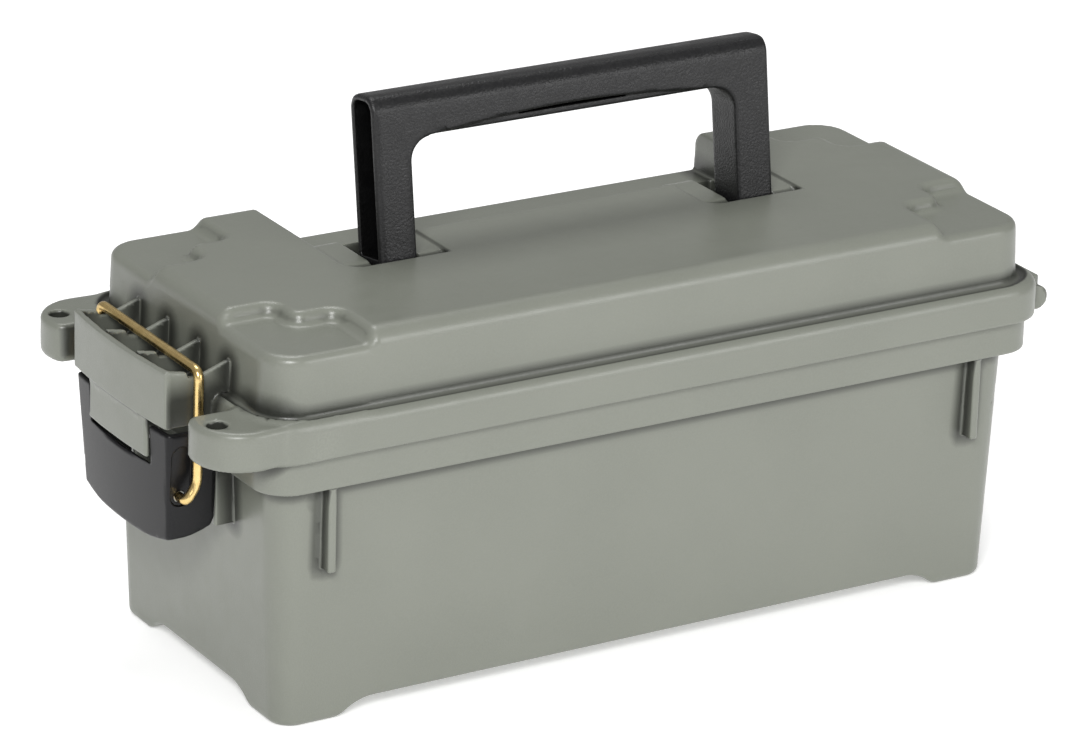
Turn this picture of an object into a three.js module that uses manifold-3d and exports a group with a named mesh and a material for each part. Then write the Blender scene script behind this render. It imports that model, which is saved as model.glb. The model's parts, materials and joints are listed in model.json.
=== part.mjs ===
// A lidded field box: a tapered tub, a domed lid hinged at one end, a swing handle on the lid,
// and an over-centre latch with a wire bail at the other end.
// Millimetres, +Z up. +X runs from the latch end to the hinge end, -Y is the front.
// The origin is on the ground, below the centre of the box's overall size.
import * as THREE from 'three';
import { mergeVertices } from 'three/addons/utils/BufferGeometryUtils.js';
import Module from 'manifold-3d';

const wasm = await Module();
wasm.setup();

// ---- driving dimensions -------------------------------------------------------------------
const WALL = 2.4;
const GAP = 0.3;
const BEYOND = 40; // how far a cutting tool runs past what it cuts
const WELD = 1e-4; // vertices closer than this are the same

const TUB = { x: 146.9, y: 59, corner: 8.7, draft: 0.037, notch: 5.9, floor: 8.5, collar: 89.5, rim: 111.7 };
const COLLAR = { x: 156.4, y: 68.5, corner: 12 };
const FOOT = { x: 116, y: 30, slope: 8 }; // the notches between the feet
const STIFFENER = { x: 131.5, thick: 3, face: 67.3, bottom: 58.5 };

const LID = { x: 152.4, y: 64.5, corner: 12.7, bottom: 102.2, flange: 116.9, top: 142 };
const FLANGE_OUT = 7.5; // the flange's face, outside the dome's top outline
const DOME_OUT = 1.1; // the dome's foot, outside the dome's top outline
const BAY = { x: 93, front: 17, floor: 126.5 }; // where the folded grip lies, open to the back
const CHANNEL = { width: 28.4, left: -82, right: 64, back: 51, floor: 120.5, lip: -7.9, wall: -9.2 };
const LIP_THICK = 2.5;
const HUMP = { width: 11, y: 5, radius: 11.6, front: 13.1 };
const STACK = { x1: 115.5, y1: 39, x2: 132, y2: 25, depth: 4.2 };

const EAR = {
  x: -161, y: 55, radius: 17, inner: 47, nose: 3, hole: [-171, 58.5], bore: 3.5, top: 116.4, root: -146,
};
const TAB = { bottom: 102.6, top: 107.9, inset: 2.7 };

const CATCH = {
  x: -177.5, bulge: 2, y: 34, thick: 2.2, bottom: 106.7, top: 127, low: 123.5, rib: 11.3,
  tongue: 21.2, tongueEnd: 92.6,
};
const PIVOT = {
  x: -171.5, z: 97, pin: 1.6, ear: 2.7, earY: 23.6, earWide: 4, root: 80.5, half: 31, lug: 3, lugY: 28,
};
const LEVER = {
  x: -176.5, bulge: 1.8, y: 34, thick: 2.2, top: 104.2, low: 64.8, back: -157.4, inset: 3, rake: 1.7,
};
const LEVER_TURN = { front: 9.35, back: 12.1 }; // the lever's rounded upper corners, about its own pin
const LEVER_SAG = 5.4; // how far its lower edge bows down in the middle
const NOTCH = { side: 0.8, below: 1.9, sag: 1 }; // room round the tongue in the lever's face
// The tongue's lower end, as a barrel about the lever's pin that the lever's lip turns round.
const BARREL = { middle: 8.7, edge: 7.9, half: 22, top: 93.6 };
const FIN = { y: 28.5, wide: 2.5, x: -156.9, bottom: 67 };
const BAIL = {
  x: -166, z: 126.5, y: 36.1, wire: 1.75, hookX: -170.5, hookZ: 80.5, inner: 30.6, bend: 3.4, hookBend: 2.8,
};

const HINGE = { x: 165.5, z: 103, knuckle: 4.5, pin: 2, bore: 2.3, half: 55, count: 5, strap: 9 };
const HANDLE = { x: 80.5, web: 65.9, half: 8.34, top: 68.3, under: 51.6, pivotY: -0.4, pivotZ: 130, lean: 8 };
const HANDLE_ROUND = { window: 7, grip: 3 };
const HANDLE_HOLLOW = { outer: 24, inner: 12 }; // where its sloped lower end begins, above the pivot
const STUD = { radius: 4, bore: 4.4, length: 7.5 };
const GASKET = { inner: 0.8, outer: 4.2, bottom: 112, top: 114.2 };
const SEAT = { inset: 0.3, bottom: 110 }; // the lid's inner lip that keeps the gasket in place

const LATCH_REACH = CATCH.bulge - CATCH.x;
const HINGE_REACH = HINGE.x + HINGE.knuckle;

// ---- three.js shapes ----------------------------------------------------------------------
const AXIS = { x: [1, 0, 0], y: [0, 1, 0], z: [0, 0, 1], front: [0, -1, 0] };

function basis(...columns) {
  return new THREE.Matrix4().makeBasis(...columns.map((column) => new THREE.Vector3(...column)));
}

// Where an outline's own two directions and its depth end up, by the axis it is extruded along.
const turned = { x: basis(AXIS.y, AXIS.z, AXIS.x), y: basis(AXIS.x, AXIS.z, AXIS.front) };

function outline(points) {
  return new THREE.Shape(points.map(([u, v]) => new THREE.Vector2(u, v)));
}

function roundedRectangle(halfX, halfY, radius) {
  const shape = new THREE.Shape();
  shape.absarc(halfX - radius, halfY - radius, radius, 0, Math.PI / 2);
  shape.absarc(radius - halfX, halfY - radius, radius, Math.PI / 2, Math.PI);
  shape.absarc(radius - halfX, radius - halfY, radius, Math.PI, 1.5 * Math.PI);
  shape.absarc(halfX - radius, radius - halfY, radius, 1.5 * Math.PI, 2 * Math.PI);
  return shape;
}

// A rounded rectangle raised through a profile of [height, outset] pairs.
function raisedGeometry({ x, y, corner }, profile) {
  const steps = profile.length - 1;
  const settings = { depth: steps, steps, bevelEnabled: false, curveSegments: 6 };
  const geometry = new THREE.ExtrudeGeometry(roundedRectangle(x, y, corner), settings);
  const position = geometry.attributes.position;
  for (let i = 0; i < position.count; i += 1) {
    const [height, outset] = profile[Math.round(position.getZ(i))];
    const px = position.getX(i);
    const py = position.getY(i);
    position.setXYZ(i, px + Math.sign(px) * outset, py + Math.sign(py) * outset, height);
  }
  return geometry;
}

// ---- solids -------------------------------------------------------------------------------
function solid(geometry) {
  const bare = geometry.clone();
  bare.deleteAttribute('normal');
  bare.deleteAttribute('uv');
  const merged = mergeVertices(bare, WELD);
  const vertProperties = new Float32Array(merged.attributes.position.array);
  const triVerts = new Uint32Array(merged.index.array);
  return new wasm.Manifold(new wasm.Mesh({ numProp: 3, vertProperties, triVerts }));
}

function join(parts) {
  return parts.reduce((whole, part) => whole.add(part));
}

function raised(outer, profile) {
  return solid(raisedGeometry(outer, profile));
}

function box(x, y, z) {
  const geometry = new THREE.BoxGeometry(x[1] - x[0], y[1] - y[0], z[1] - z[0]);
  return solid(geometry.translate((x[0] + x[1]) / 2, (y[0] + y[1]) / 2, (z[0] + z[1]) / 2));
}

function extruded(shape, from, to, axis) {
  const settings = { depth: to - from, bevelEnabled: false, curveSegments: 10 };
  const geometry = new THREE.ExtrudeGeometry(shape, settings);
  if (axis === 'z') return solid(geometry.translate(0, 0, from));
  geometry.applyMatrix4(turned[axis]);
  return solid(axis === 'x' ? geometry.translate(from, 0, 0) : geometry.translate(0, to, 0));
}

function rod(radius, from, to, axis, a, b, sides = 24) {
  const geometry = new THREE.CylinderGeometry(radius, radius, to - from, sides);
  const middle = (from + to) / 2;
  if (axis === 'x') geometry.rotateZ(Math.PI / 2).translate(middle, a, b);
  if (axis === 'y') geometry.translate(a, middle, b);
  if (axis === 'z') geometry.rotateX(Math.PI / 2).translate(a, b, middle);
  return solid(geometry);
}

function bothSides(make) {
  return make(1).add(make(-1));
}

// An interval on the given side of the middle plane.
function sided(side, near, far) {
  return side > 0 ? [near, far] : [-far, -near];
}

// ---- outlines shared by pieces that mate ----------------------------------------------------
// A padlock ear seen from above: one large round corner and a straight inner side.
function earOutline(side, inset, insideX) {
  const radius = EAR.radius - inset;
  const tip = EAR.x - radius;
  const shape = new THREE.Shape();
  shape.moveTo(insideX, side * (EAR.inner + inset));
  shape.lineTo(tip + EAR.nose, side * (EAR.inner + inset));
  shape.lineTo(tip, side * (EAR.inner + inset + EAR.nose));
  for (let step = 0; step <= 6; step += 1) {
    const angle = Math.PI + (step / 6) * (Math.PI / 2);
    shape.lineTo(EAR.x + radius * Math.cos(angle), side * (EAR.y - radius * Math.sin(angle)));
  }
  shape.lineTo(insideX, side * (EAR.y + radius));
  return shape;
}

// A plate seen from above that bulges towards the latch end.
function bowedPlate({ x, bulge, y, thick }) {
  const shape = new THREE.Shape();
  shape.moveTo(x, -y);
  shape.quadraticCurveTo(x - 2 * bulge, 0, x, y);
  shape.lineTo(x + thick, y);
  shape.quadraticCurveTo(x + thick - 2 * bulge, 0, x + thick, -y);
  return shape;
}

function padlockHole(side) {
  return rod(EAR.bore, LID.bottom - BEYOND, EAR.top + BEYOND, 'z', EAR.hole[0], side * EAR.hole[1], 16);
}

// ---- base ---------------------------------------------------------------------------------
function tubHalf(z) {
  return TUB.x + TUB.draft * z;
}

// The tub and the wider collar round its rim, both inset by the same margin.
function tub(inset, from, step, to) {
  const wall = { x: TUB.x - inset, y: TUB.y - inset, corner: TUB.corner - inset };
  const collar = { x: COLLAR.x - inset, y: COLLAR.y - inset, corner: COLLAR.corner - inset };
  return raised(wall, [[from, TUB.draft * from], [step + 1, TUB.draft * (step + 1)]])
    .add(raised(collar, [[step, 0], [to, 0]]));
}

function footNotch(half, axis) {
  const shape = outline([
    [-half - FOOT.slope, 0], [-half, TUB.notch], [half, TUB.notch], [half + FOOT.slope, 0],
    [half + FOOT.slope, -BEYOND], [-half - FOOT.slope, -BEYOND],
  ]);
  return extruded(shape, -TUB.x - BEYOND, TUB.x + BEYOND, axis);
}

function stiffeners() {
  const ribs = [];
  for (const x of [-STIFFENER.x, STIFFENER.x]) {
    const across = [x - STIFFENER.thick / 2, x + STIFFENER.thick / 2];
    const height = [STIFFENER.bottom, TUB.collar + 1];
    ribs.push(bothSides((side) => box(across, sided(side, TUB.y, STIFFENER.face), height)));
  }
  return join(ribs);
}

function latchBracket(side) {
  const root = -tubHalf(TUB.collar) + 1;
  const arm = outline([
    [PIVOT.x, PIVOT.z + PIVOT.ear], [PIVOT.x, PIVOT.z - PIVOT.ear],
    [root, PIVOT.root], [root, PIVOT.z + PIVOT.ear],
  ]);
  const [from, to] = sided(side, PIVOT.earY, PIVOT.earY + PIVOT.earWide);
  return extruded(arm, from, to, 'y')
    .add(rod(PIVOT.ear, from, to, 'y', PIVOT.x, PIVOT.z))
    .subtract(rod(PIVOT.pin + GAP, from - 1, to + 1, 'y', PIVOT.x, PIVOT.z));
}

function latchFin(side) {
  const along = [FIN.x, -tubHalf(FIN.bottom) + 1];
  return box(along, sided(side, FIN.y, FIN.y + FIN.wide), [FIN.bottom, TUB.collar + 1]);
}

function padlockTab(side) {
  const outer = earOutline(side, TAB.inset, EAR.root);
  return extruded(outer, TAB.bottom, TAB.top, 'z').subtract(padlockHole(side));
}

// Knuckles take turns along the pin: even ones belong to the lid, odd ones to the base.
function knuckles(parity, web) {
  const pitch = (2 * HINGE.half) / HINGE.count;
  const parts = [];
  for (let i = parity; i < HINGE.count; i += 2) {
    const from = -HINGE.half + i * pitch + GAP;
    const to = from + pitch - 2 * GAP;
    parts.push(rod(HINGE.knuckle, from, to, 'y', HINGE.x, HINGE.z).add(box(web.x, [from, to], web.z)));
  }
  return join(parts).subtract(rod(HINGE.bore, -HINGE.half - 1, HINGE.half + 1, 'y', HINGE.x, HINGE.z));
}

function base() {
  const web = { x: [COLLAR.x - 1, HINGE.x], z: [HINGE.z - HINGE.knuckle, LID.bottom - GAP] };
  return join([
    tub(0, 0, TUB.collar, TUB.rim), stiffeners(), bothSides(latchBracket), bothSides(latchFin),
    bothSides(padlockTab), knuckles(1, web),
  ])
    .subtract(tub(WALL, TUB.floor, TUB.collar + WALL, TUB.rim + BEYOND))
    .subtract(footNotch(FOOT.x, 'y'))
    .subtract(footNotch(FOOT.y, 'x'));
}

// ---- lid ----------------------------------------------------------------------------------
function lidOutside() {
  return raised(LID, [
    [LID.bottom, FLANGE_OUT],
    [LID.flange - 3.4, FLANGE_OUT],
    [LID.flange - 0.8, FLANGE_OUT - 1.2],
    [LID.flange, FLANGE_OUT - 3.4],
    [LID.flange + 0.6, DOME_OUT + 1.2],
    [LID.flange + 2.6, DOME_OUT],
    [LID.top - 4, 0],
    [LID.top - 1.2, -1],
    [LID.top, -3.6],
  ]);
}

// The handle's bay, channels and pivot pockets, grown by a margin on every side.
function handleRecess(margin) {
  const up = LID.top + BEYOND;
  const half = BAY.x + margin;
  const parts = [
    box([-half, half], [BAY.front - margin, LID.y + BEYOND], [BAY.floor - margin, up]),
  ];
  for (const left of [CHANNEL.left, CHANNEL.right]) {
    const x = [left - margin, left + CHANNEL.width + margin];
    parts.push(box(x, [CHANNEL.lip - margin, CHANNEL.back + margin], [CHANNEL.floor - margin, up]));
    parts.push(box(x, [CHANNEL.wall - margin, 0], [CHANNEL.floor - margin, LID.top - LIP_THICK]));
    const boss = [left - HUMP.width - margin, left];
    parts.push(box(boss, [CHANNEL.lip + margin, BAY.front + 1], [BAY.floor - margin, up]));
  }
  return join(parts);
}

// A round-topped boss beside each pocket, with the blind bore that takes the handle's stud.
function hump(left) {
  const shape = new THREE.Shape();
  const shoulder = LID.top - HUMP.radius;
  shape.moveTo(HUMP.y - HUMP.front, BAY.floor - WALL);
  shape.lineTo(HUMP.y + HUMP.radius, BAY.floor - WALL);
  shape.lineTo(HUMP.y + HUMP.radius, shoulder);
  shape.absarc(HUMP.y, shoulder, HUMP.radius, 0, Math.PI / 2);
  shape.lineTo(HUMP.y - HUMP.front, LID.top);
  return extruded(shape, left - HUMP.width, left, 'x');
}

function studBore(left) {
  return rod(STUD.bore, left - STUD.length - 1, left + 1, 'x', HANDLE.pivotY, HANDLE.pivotZ);
}

// Each corner of the top steps down twice, so that the feet of a box above find their place.
function stackingCorners(margin) {
  const z = [LID.top - STACK.depth - margin, LID.top + BEYOND];
  const steps = [];
  for (const [x, y] of [[STACK.x1, STACK.y1], [STACK.x2, STACK.y2]]) {
    for (const [sx, sy] of [[1, 1], [1, -1], [-1, 1], [-1, -1]]) {
      steps.push(box(sided(sx, x - margin, LID.x + BEYOND), sided(sy, y - margin, LID.y + BEYOND), z));
    }
  }
  return join(steps);
}

function ear(side) {
  return extruded(earOutline(side, 0, -LID.x), LID.bottom, EAR.top, 'z');
}

function earHollow(side) {
  return extruded(earOutline(side, TAB.inset - GAP, EAR.root), LID.bottom - 1, TAB.top + GAP, 'z');
}

function barrel(margin) {
  const { middle, edge, half } = BARREL;
  const profile = [-2, -1, 0, 1, 2].map((step) => {
    const radius = middle - (middle - edge) * (step / 2) ** 2;
    return new THREE.Vector2(radius + margin, (step / 2) * (half + margin));
  });
  const ends = [new THREE.Vector2(0, -half - margin), new THREE.Vector2(0, half + margin)];
  const geometry = new THREE.LatheGeometry([ends[0], ...profile, ends[1]], 48);
  return solid(geometry.translate(PIVOT.x, 0, PIVOT.z));
}

// The catch: a bowed plate on ribs whose tops fall away from the dome.
function catchRib(from, to) {
  const shape = outline([
    [CATCH.x + CATCH.thick / 2, CATCH.bottom], [CATCH.x + CATCH.thick / 2, CATCH.top],
    [BAIL.x - BAIL.wire, CATCH.top], [BAIL.x + BAIL.wire, CATCH.low],
    [-LID.x - DOME_OUT, CATCH.top + 0.5], [-LID.x, CATCH.top + 0.5], [-LID.x, CATCH.bottom],
  ]);
  return extruded(shape, from, to, 'y');
}

// The room that the bail's bar sweeps as the lever turns and the bail stays upright.
function bailSweep() {
  const swing = Math.hypot(BAIL.hookX - PIVOT.x, PIVOT.z - BAIL.hookZ);
  const radius = swing + BAIL.wire + GAP;
  const centreX = BAIL.x + PIVOT.x - BAIL.hookX;
  const centreZ = BAIL.z + PIVOT.z - BAIL.hookZ;
  return rod(radius, -CATCH.y - 1, CATCH.y + 1, 'y', centreX, centreZ, 72);
}

function latchCatch() {
  const plate = bowedPlate(CATCH);
  const { y, rib, thick, tongue } = CATCH;
  const tongueZone = box([-LID.x - BEYOND, -LID.x], [-tongue, tongue], [CATCH.tongueEnd, CATCH.top]);
  const blunt = box([-LID.x - BEYOND, -LID.x], [-tongue, tongue], [CATCH.tongueEnd - 1, BARREL.top])
    .subtract(barrel(0));
  const ribs = [-y, -rib - thick / 2, rib - thick / 2, y - thick];
  return join([
    extruded(plate, CATCH.bottom, CATCH.top, 'z'),
    extruded(plate, CATCH.tongueEnd, CATCH.top, 'z').intersect(tongueZone).subtract(blunt),
    ...ribs.map((from) => catchRib(from, from + thick)),
  ]).subtract(bailSweep());
}

function lidInside() {
  const ceiling = LID.flange - WALL;
  const inner = DOME_OUT - WALL;
  const skirt = raised(LID, [[LID.bottom - 1, FLANGE_OUT - WALL], [ceiling, FLANGE_OUT - WALL]]);
  const dome = raised(LID, [[LID.bottom - 1, inner], [LID.top - WALL, -WALL]])
    .subtract(handleRecess(WALL))
    .subtract(stackingCorners(WALL));
  const seat = raised(LID, [[SEAT.bottom, SEAT.inset], [ceiling + 1, SEAT.inset]])
    .subtract(raised(LID, [[SEAT.bottom - 1, inner], [ceiling + 2, inner]]));
  return skirt.add(dome).subtract(seat);
}

function lid() {
  const web = { x: [LID.x + FLANGE_OUT - 1.5, HINGE.x], z: [HINGE.z, HINGE.z + HINGE.strap] };
  const lefts = [CHANNEL.left, CHANNEL.right];
  return join([lidOutside(), bothSides(ear), latchCatch()])
    .subtract(handleRecess(0))
    .subtract(stackingCorners(0))
    .add(join(lefts.map(hump)))
    .subtract(lidInside())
    .subtract(bothSides(earHollow))
    .subtract(bothSides(padlockHole))
    .subtract(join(lefts.map(studBore)))
    .add(knuckles(0, web));
}

function gasket() {
  const span = [GASKET.bottom, GASKET.top];
  const outer = raised(LID, span.map((z) => [z, GASKET.outer]));
  return outer.subtract(raised(LID, [[GASKET.bottom - 1, GASKET.inner], [GASKET.top + 1, GASKET.inner]]));
}

// ---- handle, upright about its own pivot --------------------------------------------------
function handle() {
  const frame = new THREE.Shape();
  const round = HANDLE_ROUND.window;
  frame.moveTo(-HANDLE.x, -HANDLE.half);
  frame.lineTo(-HANDLE.web, -HANDLE.half);
  frame.lineTo(-HANDLE.web, HANDLE.under - round);
  frame.absarc(round - HANDLE.web, HANDLE.under - round, round, Math.PI, Math.PI / 2, true);
  frame.absarc(HANDLE.web - round, HANDLE.under - round, round, Math.PI / 2, 0, true);
  frame.lineTo(HANDLE.web, -HANDLE.half);
  frame.lineTo(HANDLE.x, -HANDLE.half);
  frame.lineTo(HANDLE.x, HANDLE.top);
  frame.lineTo(-HANDLE.x, HANDLE.top);

  const side = new THREE.Shape();
  const edge = HANDLE_ROUND.grip;
  side.absarc(0, 0, HANDLE.half, Math.PI, 2 * Math.PI);
  side.absarc(HANDLE.half - edge, HANDLE.top - edge, edge, 0, Math.PI / 2);
  side.absarc(edge - HANDLE.half, HANDLE.top - edge, edge, Math.PI / 2, Math.PI);

  const web = HANDLE.web + WALL;
  const out = HANDLE.x + 1;
  const { outer, inner } = HANDLE_HOLLOW;
  const hollow = outline([
    [-out, outer], [-web, inner], [-web, HANDLE.under + WALL], [web, HANDLE.under + WALL], [web, inner],
    [out, outer], [out, HANDLE.top - WALL], [-out, HANDLE.top - WALL],
  ]);
  const studs = [-HANDLE.x, HANDLE.web].map((x) => rod(STUD.radius, x - STUD.length, x + 1, 'x', 0, 0));
  return extruded(frame, -HANDLE.half, HANDLE.half, 'y')
    .intersect(extruded(side, -HANDLE.x, HANDLE.x, 'x'))
    .subtract(extruded(hollow, WALL - HANDLE.half, HANDLE.half - WALL, 'y'))
    .add(join(studs));
}

// ---- latch --------------------------------------------------------------------------------
// The lever is a bowed channel that narrows and rakes back towards its lower end.
function leverBlank() {
  const height = LEVER.top - LEVER.low;
  const depth = height + 6;
  const { x, y, thick, bulge } = LEVER;
  const shape = new THREE.Shape();
  shape.moveTo(x, -y);
  shape.quadraticCurveTo(x - 2 * bulge, 0, x, y);
  shape.lineTo(LEVER.back + 3, y);
  shape.lineTo(LEVER.back + 3, y - thick);
  shape.lineTo(x + thick, y - thick);
  shape.quadraticCurveTo(x + thick - 2 * bulge, 0, x + thick, thick - y);
  shape.lineTo(LEVER.back + 3, thick - y);
  shape.lineTo(LEVER.back + 3, -y);
  const geometry = new THREE.ExtrudeGeometry(shape, { depth, bevelEnabled: false, curveSegments: 10 });
  geometry.translate(0, 0, LEVER.top - depth);
  const position = geometry.attributes.position;
  for (let i = 0; i < position.count; i += 1) {
    const fall = (LEVER.top - position.getZ(i)) / height;
    position.setX(i, position.getX(i) + LEVER.rake * fall);
    position.setY(i, position.getY(i) * (1 - (LEVER.inset / y) * fall));
  }
  return solid(geometry);
}

function leverFace() {
  const shape = new THREE.Shape();
  const wide = LEVER.y + 2;
  shape.moveTo(-wide, LEVER.top + 1);
  shape.lineTo(-wide, LEVER.low + LEVER_SAG / 3);
  shape.quadraticCurveTo(0, LEVER.low - 2 * LEVER_SAG + LEVER_SAG / 3, wide, LEVER.low + LEVER_SAG / 3);
  shape.lineTo(wide, LEVER.top + 1);
  return extruded(shape, LEVER.x - BEYOND, LEVER.back + BEYOND, 'x');
}

function leverSide() {
  const shape = new THREE.Shape();
  const { front, back } = LEVER_TURN;
  const rise = LEVER.top - PIVOT.z;
  shape.absarc(PIVOT.x, PIVOT.z, front, Math.PI, Math.PI - Math.asin(rise / front), true);
  shape.absarc(PIVOT.x, PIVOT.z, back, Math.asin(rise / back), 0, true);
  shape.lineTo(LEVER.back, PIVOT.z - 4);
  shape.lineTo(LEVER.back, LEVER.low + 6);
  shape.lineTo(LEVER.back - 1.2, LEVER.low + 3.2);
  shape.lineTo(LEVER.back - 4, LEVER.low + 2);
  shape.lineTo(LEVER.x - BEYOND, LEVER.low - 8);
  shape.lineTo(LEVER.x - BEYOND, PIVOT.z);
  return extruded(shape, -LEVER.y - 1, LEVER.y + 1, 'y');
}

function lever() {
  const notch = new THREE.Shape();
  const wide = CATCH.tongue + NOTCH.side;
  const bottom = CATCH.tongueEnd - NOTCH.below;
  notch.moveTo(-wide, LEVER.top + 1);
  notch.lineTo(-wide, bottom);
  notch.quadraticCurveTo(0, bottom - 2 * NOTCH.sag, wide, bottom);
  notch.lineTo(wide, LEVER.top + 1);
  const lug = (side) => {
    const [from, to] = sided(side, PIVOT.lugY, LEVER.y - LEVER.thick);
    return rod(PIVOT.lug, from, to, 'y', PIVOT.x, PIVOT.z);
  };
  const holes = [
    rod(PIVOT.pin + GAP, -PIVOT.half - GAP, PIVOT.half + GAP, 'y', PIVOT.x, PIVOT.z),
    rod(BAIL.wire + GAP, -LEVER.y - 1, LEVER.y + 1, 'y', BAIL.hookX, BAIL.hookZ),
  ];
  return leverBlank()
    .intersect(leverFace())
    .intersect(leverSide())
    .subtract(extruded(notch, LEVER.x - BEYOND, LEVER.x + LEVER.thick + 2, 'x'))
    .subtract(barrel(GAP))
    .add(bothSides(lug))
    .subtract(join(holes));
}

function pin(joint, half) {
  return rod(joint.pin, -half, half, 'y', joint.x, joint.z);
}

// A path through corner points, each corner rounded over its own length.
function roundedPath(corners) {
  const path = new THREE.CurvePath();
  const points = corners.map(({ at }) => new THREE.Vector3(...at));
  const towards = (from, to, length) => from.clone().add(to.clone().sub(from).setLength(length));
  let start = points[0];
  for (let i = 1; i < points.length - 1; i += 1) {
    const before = towards(points[i], points[i - 1], corners[i].round);
    const after = towards(points[i], points[i + 1], corners[i].round);
    path.add(new THREE.LineCurve3(start, before));
    path.add(new THREE.QuadraticBezierCurve3(before, points[i], after));
    start = after;
  }
  path.add(new THREE.LineCurve3(start, points.at(-1)));
  return path;
}

// One wire: in through a lever wall, round the hook, up the leg, over the bar, and down again.
function bail() {
  const legX = BAIL.x - 0.5;
  const leg = [
    { at: [BAIL.hookX, -BAIL.inner, BAIL.hookZ] },
    { at: [BAIL.hookX, -BAIL.y, BAIL.hookZ], round: BAIL.hookBend },
    { at: [legX, -BAIL.y, BAIL.hookZ + 6], round: BAIL.hookBend },
    { at: [BAIL.x, -BAIL.y, BAIL.z], round: BAIL.bend },
  ];
  const mirrored = leg.map(({ at: [x, y, z], round }) => ({ at: [x, -y, z], round })).reverse();
  const section = new THREE.Shape();
  section.absarc(0, 0, BAIL.wire, 0, 2 * Math.PI);
  const extrudePath = roundedPath([...leg, ...mirrored]);
  const settings = { steps: 96, extrudePath, curveSegments: 5, bevelEnabled: false };
  return solid(new THREE.ExtrudeGeometry(section, settings));
}

// ---- the assembly -------------------------------------------------------------------------
const plastics = {
  olive: { color: 0x91948a, roughness: 0.62, metalness: 0 },
  black: { color: 0x2b2b2d, roughness: 0.45, metalness: 0 },
  rubber: { color: 0x1c1c1c, roughness: 0.8, metalness: 0 },
  steel: { color: 0xa8a8a6, roughness: 0.35, metalness: 1 },
  brass: { color: 0xc9a24a, roughness: 0.3, metalness: 1 },
};

function piece(name, body, material) {
  const mesh = body.getMesh();
  const geometry = new THREE.BufferGeometry();
  geometry.setAttribute('position', new THREE.BufferAttribute(new Float32Array(mesh.vertProperties), 3));
  geometry.setIndex(new THREE.BufferAttribute(new Uint32Array(mesh.triVerts), 1));
  geometry.computeVertexNormals();
  const object = new THREE.Mesh(geometry, new THREE.MeshStandardMaterial(plastics[material]));
  object.name = name;
  return object;
}

const fieldBox = new THREE.Group();
fieldBox.position.x = (LATCH_REACH - HINGE_REACH) / 2;
fieldBox.add(piece('base_shell', base(), 'olive'));
fieldBox.add(piece('lid_shell', lid(), 'olive'));
fieldBox.add(piece('lid_gasket', gasket(), 'rubber'));
fieldBox.add(piece('hinge_pin', pin(HINGE, HINGE.half), 'steel'));
fieldBox.add(piece('latch_lever', lever(), 'black'));
fieldBox.add(piece('latch_pin', pin(PIVOT, PIVOT.half), 'steel'));
fieldBox.add(piece('wire_bail', bail(), 'brass'));

const carryHandle = piece('carry_handle', handle(), 'black');
carryHandle.position.set(0, HANDLE.pivotY, HANDLE.pivotZ);
carryHandle.rotation.x = THREE.MathUtils.degToRad(-HANDLE.lean);
fieldBox.add(carryHandle);

const root = new THREE.Group();
root.add(fieldBox);
root.updateMatrixWorld(true);

export default root;
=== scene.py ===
"""A lidded field box: soft-edged plastic mouldings, a pebbled carry handle and a wire-bail latch."""
import json
import math

import bpy
import numpy as np
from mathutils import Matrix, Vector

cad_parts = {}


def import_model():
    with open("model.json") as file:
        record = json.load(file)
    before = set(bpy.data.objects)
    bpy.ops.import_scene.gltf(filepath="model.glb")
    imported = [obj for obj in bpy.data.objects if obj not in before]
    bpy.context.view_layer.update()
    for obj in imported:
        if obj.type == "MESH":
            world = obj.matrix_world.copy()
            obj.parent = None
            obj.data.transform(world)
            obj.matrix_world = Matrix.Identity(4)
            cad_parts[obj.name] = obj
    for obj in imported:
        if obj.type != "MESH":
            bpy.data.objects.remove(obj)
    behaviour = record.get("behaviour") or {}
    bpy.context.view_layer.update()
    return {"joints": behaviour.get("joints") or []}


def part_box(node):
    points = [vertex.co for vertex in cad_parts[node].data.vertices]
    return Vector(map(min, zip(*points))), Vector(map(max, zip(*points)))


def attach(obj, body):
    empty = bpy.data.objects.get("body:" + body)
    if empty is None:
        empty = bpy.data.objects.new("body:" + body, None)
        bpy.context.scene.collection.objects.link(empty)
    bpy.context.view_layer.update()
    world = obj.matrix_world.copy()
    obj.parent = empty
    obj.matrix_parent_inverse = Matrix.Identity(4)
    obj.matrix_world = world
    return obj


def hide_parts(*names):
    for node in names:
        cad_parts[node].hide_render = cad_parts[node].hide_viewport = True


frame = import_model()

import openvdb
from mathutils import Matrix, Vector

# ---- driving dimensions, millimetres about the box's own centre lines ----------------------------
MM = 0.001


def extent(node):
    """Lowest and highest corner of a CAD node, in millimetres about the centre lines."""
    return [(np.array(corner) / MM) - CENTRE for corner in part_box(node)]


def joint_at(name):
    """A joint's place, in millimetres about the centre lines."""
    place = next(joint["pos_m"] for joint in frame["joints"] if joint["name"] == name)
    return np.array(place) / MM - CENTRE


gasket_low, gasket_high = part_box("lid_gasket")
CENTRE = np.array([(gasket_low[0] + gasket_high[0]) / 2 / MM, 0.0, 0.0])

LID_TOP = extent("lid_shell")[1][2]
FLANGE_Y = extent("lid_shell")[1][1]
RIM = extent("base_shell")[1][2]
HINGE = joint_at("lid_hinge")
LATCH = joint_at("latch_pivot")
HOOK = joint_at("bail_pivot")
SWING = joint_at("handle_pivot")

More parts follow.
